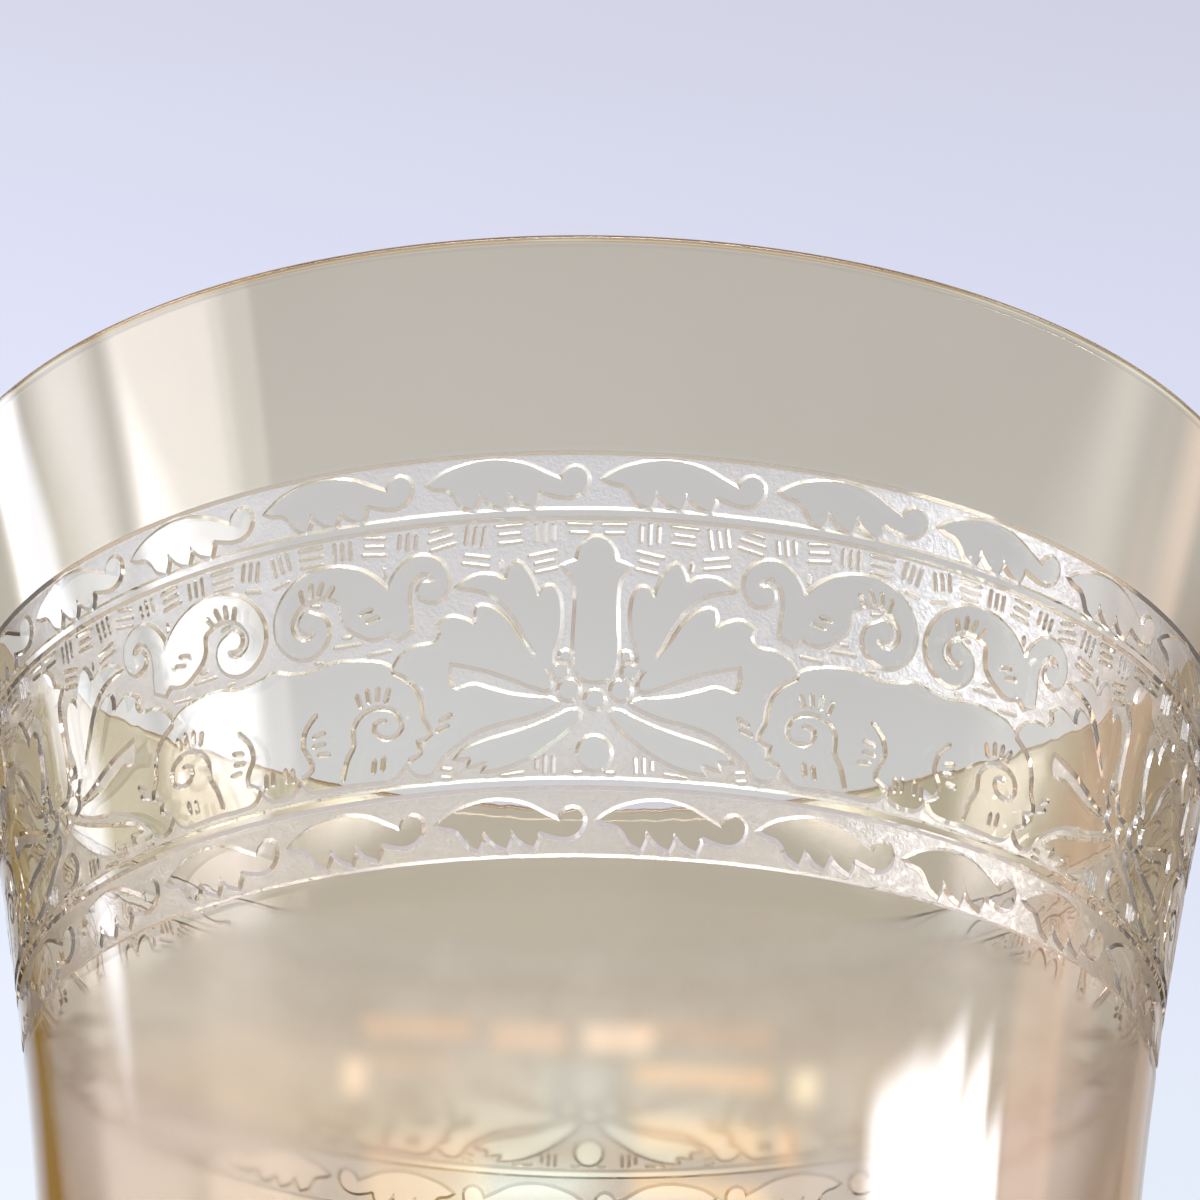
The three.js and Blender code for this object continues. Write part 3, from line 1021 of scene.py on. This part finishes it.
def weaveLines(shapes, width, top, bottom):
    # basket weave of short raised lines in the ground, each cell turned against its neighbours
    chance = random.Random(weave["seed"])
    margin = weave["sideMargin"]
    lines = []
    for row in range(int((bottom - top) / weave["cellHeight"]) + 1):
        for column in range(int(width / weave["cellWidth"]) + 1):
            middle = np.array(((column + 0.5) * weave["cellWidth"], top + (row + 0.5) * weave["cellHeight"]))
            angle = math.radians(90.0 * ((row + column) % 2) + chance.uniform(-weave["tilt"], weave["tilt"]))
            along = np.array((math.cos(angle), math.sin(angle)))
            aside = np.array((-along[1], along[0]))
            for rank in (-1, 0, 1):
                full = weave["length"] * chance.uniform(*weave["lengthRange"])
                centre = middle + aside * rank * weave["spacing"]
                for share in weave["cuts"]:
                    half = along * full * share / 2
                    line = np.array([centre - half, centre, centre + half])
                    inReach = line[:, 0].min() > margin and line[:, 0].max() < width - margin
                    if inReach and clearance(line, shapes)[0].min() > weave["clear"]:
                        lines.append(line)
                        break
    return lines


def plainWall(fromDrop, toDrop, width, columns):
    # standing strip right across the plate and one column past both its sides
    step = width / columns
    return bar(-step, width + step, fromDrop, toDrop, columns + 2)


def bandMeshes():
    top, bottom = band["top"] - band["margin"], band["bottom"] + band["margin"]
    halfRule = band["ruleWidth"] / 2
    upper, lower = band["upperRule"], band["lowerRule"]
    leafColumns = band["columnsRound"] // band["leaves"]
    halfColumns = band["columnsRound"] // (2 * band["palmettes"])
    leafPlate, halfPlate = (leafWidth, leafColumns), (halfPalmette, halfColumns)

    def rule(drop, plate):
        return plainWall(drop - halfRule, drop + halfRule, *plate)

    upperShapes = [plainWall(top - 1.0, band["top"], *leafPlate), rule(upper, leafPlate)]
    upperShapes += leafShapes(band["upperLeaves"])
    lowerShapes = [rule(lower, leafPlate), plainWall(band["bottom"], bottom + 1.0, *leafPlate)]
    lowerShapes += leafShapes(band["lowerLeaves"])
    friezeShapes = [rule(upper, halfPlate), rule(lower, halfPlate)] + palmetteShapes() + scrollShapes()
    gap = weave["ruleGap"]
    weaving = weaveLines(friezeShapes, halfPalmette, upper + gap, lower - gap)
    frieze = reliefPlate(
        "frieze", friezeShapes, halfPalmette, upper, lower, halfColumns, ridges=weaving, grooves=fieldLines(),
    )
    upperBorder = reliefPlate("upperBorder", upperShapes, leafWidth, top, upper, leafColumns)
    lowerBorder = reliefPlate("lowerBorder", lowerShapes, leafWidth, lower, bottom, leafColumns)
    leaves, palmettes = band["leaves"], band["palmettes"]
    strips = [(upperBorder, leaves, False), (frieze, palmettes, True), (lowerBorder, leaves, False)]
    meshes = []
    for plate, copies, mirror in strips:
        meshes.append(runTree(plate.name, plate, wrapping, {
            "Copies": copies, "Mirror": mirror,
            "Unroll Radius": band["unrollRadius"] * mm, "Glass": bowlGlass,
        }))
    return meshes


def buildBowl():
    row = bowl["rowHeight"]
    bandTop, bandBottom = (band["top"] - band["margin"]) * mm, (band["bottom"] + band["margin"]) * mm
    floorZ = baseZ + bowl["floorThickness"]
    guard = lipRadius + bowl["guardRow"]

    def fromLip(radii, toDrop):
        underLip = flareStretch(radii, lipRadius, guard, row)
        return np.concatenate([underLip, flareStretch(radii, guard, toDrop, row)[1:]])

    overBand = fromLip(outerFlare, bandTop)
    underBand = flareStretch(outerFlare, bandBottom, bowl["flareHeight"], row)
    inside = fromLip(innerFlare, bowl["flareHeight"])
    base, rise = bowl["baseRadius"], bowl["baseRise"]
    outerCup = cupStretch(outerFlare, (base + rise, baseZ + rise), (base, baseZ), bowl["cupSteps"])
    innerCup = cupStretch(innerFlare, (bowl["waistRadius"] / 2, floorZ), (0.0, floorZ), bowl["cupSteps"])
    lip = roundEdge(bowl["rimRadius"] - lipRadius, lipZ, lipRadius, 0, 180, bowl["lipSteps"])
    profiles = {
        "bowlAbove": np.concatenate([overBand[::-1], lip[1:]]),
        "bowlInside": np.concatenate([inside, innerCup[1:]]),
        "bowlBelow": np.concatenate([underBand, outerCup[1:], [(0.0, baseZ)]]),
    }
    walls = [turn(name, profile, bowl["steps"], bowlGlass) for name, profile in profiles.items()]
    inner = walls[1]
    inner.attributes.new("inside", "FLOAT", "POINT").data.foreach_set("value", [1.0] * len(inner.vertices))
    finishPiece("etchedBowl", walls + bandMeshes(), bowlGlass, "root", "bowl", bowl["crease"])


# Merese: the small pressed collar between bowl and stem

mereseLow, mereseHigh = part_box("merese")
merese = {"steps": 128, "edgeSteps": 20, "crease": 40}


def buildMerese():
    edge = (mereseHigh.z - mereseLow.z) / 2
    side = roundEdge(mereseHigh.x - edge, mereseLow.z + edge, edge, -90, 90, merese["edgeSteps"])
    profile = np.concatenate([[(0.0, mereseLow.z)], side, [(0.0, mereseHigh.z)]])
    mesh = turn("mereseTurned", profile, merese["steps"], mereseGlass)
    finishPiece("stemMerese", [mesh], mereseGlass, "root", "merese", merese["crease"])


# Stem: drawn and tapered, with a round knop under the bowl

stemLow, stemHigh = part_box("stem")
stem = {
    "steps": 128,
    "footRadius": 6.5 * mm,
    "waistRadius": 3.9 * mm,
    "topRadius": 5.25 * mm,
    "knopRadius": 7.25 * mm,
    "knopHeight": 11.0 * mm,
    "knopNeck": 4.5 * mm,
    "flareLength": 24.0 * mm,
    "softening": 0.5 * mm,             # how far the flame rounds a crease
    "flareSteps": 24,
    "knopSpacing": 0.4 * mm,
    "rowLength": 0.7 * mm,
    "crease": 40,
}


def flameSoftened(profile, spread):
    # evenly spaced points with each crease rounded over about spread
    travel = np.concatenate([[0.0], np.cumsum(np.linalg.norm(np.diff(profile, axis=0), axis=1))])
    count = round(travel[-1] / stem["rowLength"])
    even = np.linspace(0.0, travel[-1], count + 1)
    dense = np.linspace(0.0, travel[-1], count * 8 + 1)
    weights = np.exp(-((even[:, None] - dense[None, :]) / spread) ** 2 / 2)
    weights /= weights.sum(axis=1)[:, None]
    line = np.stack([np.interp(dense, travel, profile[:, k]) for k in (0, 1)], axis=1)
    soft = weights @ line
    soft[0], soft[-1] = profile[0], profile[-1]
    return soft


def buildStem():
    low, high = stemLow.z, stemHigh.z
    knopTop = high - stem["knopNeck"]
    knopMiddle = knopTop - stem["knopHeight"] / 2
    neck = (stem["waistRadius"] + stem["topRadius"]) / 2
    quarter = stem["knopHeight"] / 4
    shoulder = stem["knopRadius"] - stem["knopHeight"] / 12
    waist, length = stem["waistRadius"], stem["flareLength"]
    flare = bezier([
        (stem["footRadius"], low), (waist, low + length / 4),
        (waist, low + 0.75 * length), (waist, low + length),
    ], stem["flareSteps"])
    knopPoints = [
        (neck, knopTop - stem["knopHeight"]),
        (shoulder, knopMiddle - quarter), (stem["knopRadius"], knopMiddle), (shoulder, knopMiddle + quarter),
        (neck, knopTop),
    ]
    knop = smoothLine(knopPoints, [False] * 5, False, spacing=stem["knopSpacing"])
    side = flameSoftened(np.concatenate([flare, knop, [(stem["topRadius"], high)]]), stem["softening"])
    profile = np.concatenate([[(0.0, low)], side, [(0.0, high)]])
    mesh = turn("stemTurned", profile, stem["steps"], stemGlass)
    finishPiece("drawnStem", [mesh], stemGlass, "root", "stem", stem["crease"])


# Foot: a low dome on a flat ring, hollowed underneath

footLow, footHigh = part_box("foot")
foot = {
    "steps": 192,
    "edge": 2.4 * mm,
    "shoulderHeight": 5.2 * mm,
    "shoulderRadius": 13.0 * mm,
    "ringWidth": 3.5 * mm,
    "hollow": 2.2 * mm,
    "hollowSteps": 24,
    "edgeSteps": 16,
    "domeSteps": 40,
    "crease": 40,
}


def buildFoot():
    edgeRadius = foot["edge"] / 2
    edgeCentre = footHigh.x - edgeRadius
    ringInner = edgeCentre - foot["ringWidth"]
    rise = footHigh.z - foot["shoulderHeight"]
    rim = (ringInner, 0.0)
    hollow = bezier([(0.0, foot["hollow"]), (ringInner / 2, foot["hollow"]), rim], foot["hollowSteps"])
    edge = roundEdge(edgeCentre, edgeRadius, edgeRadius, -90, 90, foot["edgeSteps"])
    dome = bezier([
        (edgeCentre, foot["edge"]), (foot["shoulderRadius"], foot["shoulderHeight"]),
        (stem["footRadius"] + rise / 2, foot["shoulderHeight"]), (stem["footRadius"], footHigh.z),
    ], foot["domeSteps"])
    profile = np.concatenate([hollow, edge, dome[1:], [(0.0, footHigh.z)]])
    mesh = turn("footTurned", profile, foot["steps"], footGlass)
    finishPiece("domedFoot", [mesh], footGlass, "root", "foot", foot["crease"])


# Floor: a plain pale sheet that the goblet stands on

floor = {
    "half": 3.0,
    "sink": 0.0002,                    # air under the foot's ring, so that light gets in there
    "colour": (0.50, 0.46, 0.42),
    "shade": 0.97,                     # of its fibres
    "fibreScale": 90.0,
    "roughness": 0.7,
}


def buildFloor():
    sheet = bpy.data.meshes.new("paleFloor")
    half, low = floor["half"], -floor["sink"]
    corners = [(-half, -half, low), (half, -half, low), (half, half, low), (-half, half, low)]
    sheet.from_pydata(corners, [], [(0, 1, 2, 3)])
    material = bpy.data.materials.new("palePaper")
    material.use_nodes = True
    tree = material.node_tree
    shader = tree.nodes["Principled BSDF"]
    where = objectPlace(tree)
    fibre = noise(tree, where, floor["fibreScale"], 4.0)
    light = floor["colour"]
    shade = [floor["shade"] * part for part in light]
    feed(tree, shader.inputs["Base Color"], ramp(tree, fibre, [(0.0, shade), (1.0, light)]))
    shader.inputs["Roughness"].default_value = floor["roughness"]
    sheet.materials.append(material)
    ground = bpy.data.objects.new("paleFloor", sheet)
    scene.collection.objects.link(ground)


buildBowl()
buildMerese()
buildStem()
buildFoot()
buildFloor()
